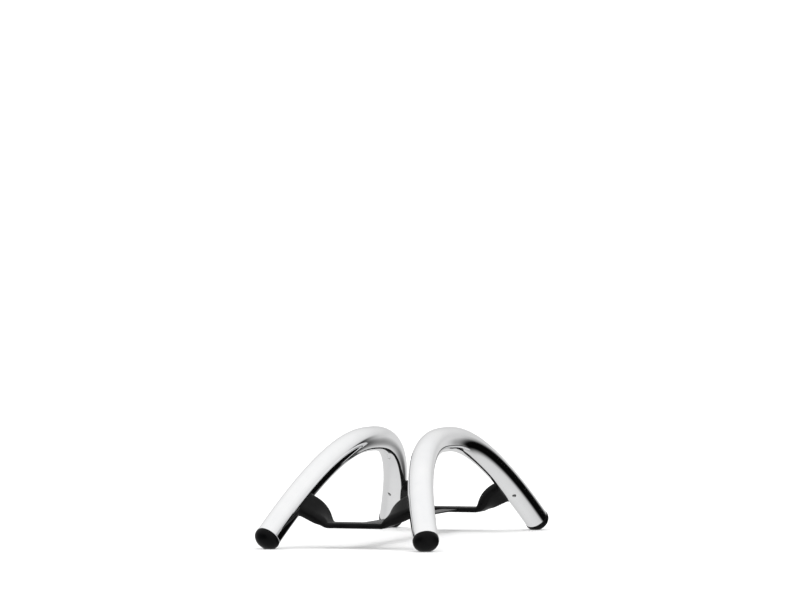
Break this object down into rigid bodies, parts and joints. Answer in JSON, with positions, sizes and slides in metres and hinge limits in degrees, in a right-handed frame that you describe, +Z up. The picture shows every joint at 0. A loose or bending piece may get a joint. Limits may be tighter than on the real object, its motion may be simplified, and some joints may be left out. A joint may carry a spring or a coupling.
{
  "type": "vertical laptop stand",
  "caption": "Stand that holds a closed laptop on edge: two leaning chromed tube arches on domed rubber feet, joined low down by a flexible black cradle.",
  "frame": {"origin": "on the table under the middle of the stand", "axes": "+Y along the laptop slot towards the rear, +X to the right-hand arch, +Z up"},
  "size_m": [0.0926, 0.2176, 0.0566],
  "materials": {
    "chrome_tube": "bright mirror chrome plate",
    "black_silicone": "satin moulded silicone",
    "foot_rubber": "smooth satin rubber",
    "plug_nylon": "moulded nylon, hidden inside the tube",
    "black_spring_steel": "satin black coated spring steel",
    "pin_steel": "ground steel pin, set just below the chrome"
  },
  "bodies": {
    "cradle": {"seat_plate": "black_spring_steel", "front_seat_pad": "black_silicone", "rear_seat_pad": "black_silicone"},
    "left_arch": {"left_arch_tube": "chrome_tube", "front_left_foot_cap": "foot_rubber", "front_left_foot_plug": "plug_nylon", "front_left_wing": "black_silicone", "front_left_wing_tongue": "black_spring_steel", "front_left_retaining_pin": "pin_steel", "rear_left_foot_cap": "foot_rubber", "rear_left_foot_plug": "plug_nylon", "rear_left_wing": "black_silicone", "rear_left_wing_tongue": "black_spring_steel", "rear_left_retaining_pin": "pin_steel"},
    "right_arch": {"right_arch_tube": "chrome_tube", "front_right_foot_cap": "foot_rubber", "front_right_foot_plug": "plug_nylon", "front_right_wing": "black_silicone", "front_right_wing_tongue": "black_spring_steel", "front_right_retaining_pin": "pin_steel", "rear_right_foot_cap": "foot_rubber", "rear_right_foot_plug": "plug_nylon", "rear_right_wing": "black_silicone", "rear_right_wing_tongue": "black_spring_steel", "rear_right_retaining_pin": "pin_steel"}
  },
  "joints": [
    {"name": "right_arch_lean", "type": "hinge", "parent": "cradle", "child": "right_arch", "pos_m": [0.013, 0, 0.01105], "axis": [0, -1, 0], "range_deg": [-2, 12], "stiffness_Nm_per_rad": 2},
    {"name": "left_arch_lean", "type": "hinge", "parent": "cradle", "child": "left_arch", "pos_m": [-0.013, 0, 0.01105], "axis": [0, 1, 0], "range_deg": [-2, 12], "stiffness_Nm_per_rad": 2}
  ],
  "couplings": [
    {"joint": "left_arch_lean", "follows": "right_arch_lean", "ratio": 1}
  ]
}
